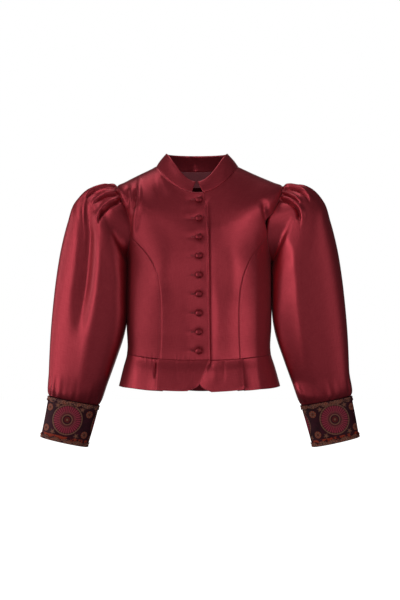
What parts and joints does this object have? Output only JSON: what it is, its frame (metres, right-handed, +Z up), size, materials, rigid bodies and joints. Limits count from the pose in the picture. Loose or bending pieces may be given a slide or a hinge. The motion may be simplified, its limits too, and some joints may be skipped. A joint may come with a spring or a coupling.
{
  "type": "puff sleeve jacket",
  "caption": "Fitted short jacket with a band collar, covered buttons, princess seams, a pleated peplum and full puff sleeves gathered into deep figured cuffs, in its worn form.",
  "frame": {"origin": "inside the neck, level with the foot of the collar on the shoulders, where the wearer's neck and shoulders hold the jacket", "axes": "+Z up, -Y the way the front faces, +X towards the wearer's left sleeve"},
  "size_m": [0.7026, 0.2474, 0.6449],
  "materials": {
    "satin": "heavy wine-red satin with a soft metallic sheen",
    "facing": "matt dusky rose-brown facing cloth",
    "brocade": "aubergine cloth woven and stitched with round medallions and flowers",
    "gimp": "bronze scalloped gimp edging"
  },
  "bodies": {
    "root": {"front_right": "satin", "front_left": "satin", "side_front_right": "satin", "side_front_left": "satin", "back": "satin", "back_neck_facing": "facing", "peplum_front_right": "satin", "peplum_front_left": "satin", "peplum_back": "satin", "collar": "satin", "sleeve_right": "satin", "sleeve_left": "satin", "cuff_right": "brocade", "cuff_left": "brocade", "cuff_top_edging_right": "gimp", "cuff_top_edging_left": "gimp", "cuff_bottom_edging_right": "gimp", "cuff_bottom_edging_left": "gimp", "button_1": "satin", "button_2": "satin", "button_3": "satin", "button_4": "satin", "button_5": "satin", "button_6": "satin", "button_7": "satin", "button_8": "satin", "button_9": "satin"}
  },
  "joints": []
}
